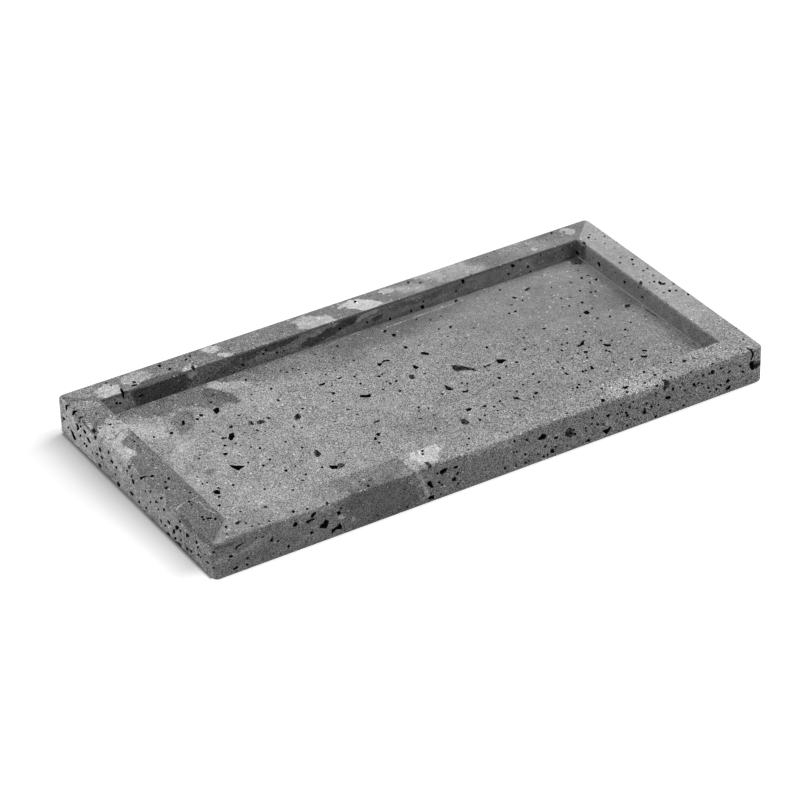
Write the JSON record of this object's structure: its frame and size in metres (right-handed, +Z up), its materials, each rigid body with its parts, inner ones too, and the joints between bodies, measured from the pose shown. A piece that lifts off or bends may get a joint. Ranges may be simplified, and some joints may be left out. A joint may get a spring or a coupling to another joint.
{
  "type": "stone tray",
  "caption": "Shallow rectangular travertine tray: mitred stone rails bonded round an inset floor slab, raised on felt pads, for holding small things on a table.",
  "frame": {"origin": "on the surface that the tray stands on, under the middle of the tray", "axes": "+X along the length towards the right-hand rail, +Y across the width towards the back rail, +Z up"},
  "size_m": [0.3, 0.15, 0.0211],
  "materials": {
    "floor_stone": "honed, unfilled, pitted",
    "front_stone": "honed, unfilled, pitted",
    "right_stone": "honed, unfilled, pitted",
    "back_stone": "honed, unfilled, pitted",
    "left_stone": "honed, unfilled, pitted",
    "adhesive": "cured stone adhesive, ground flush",
    "felt": "pressed felt"
  },
  "bodies": {
    "root": {"floor_slab": "floor_stone", "front_rail": "front_stone", "right_rail": "right_stone", "back_rail": "back_stone", "left_rail": "left_stone", "mitre_bond_front_right": "adhesive", "mitre_bond_back_right": "adhesive", "mitre_bond_back_left": "adhesive", "mitre_bond_front_left": "adhesive", "slab_bond_front": "adhesive", "slab_bond_right": "adhesive", "slab_bond_back": "adhesive", "slab_bond_left": "adhesive", "foot_pad_front_left": "felt", "foot_pad_front_right": "felt", "foot_pad_back_left": "felt", "foot_pad_back_right": "felt"}
  },
  "joints": []
}
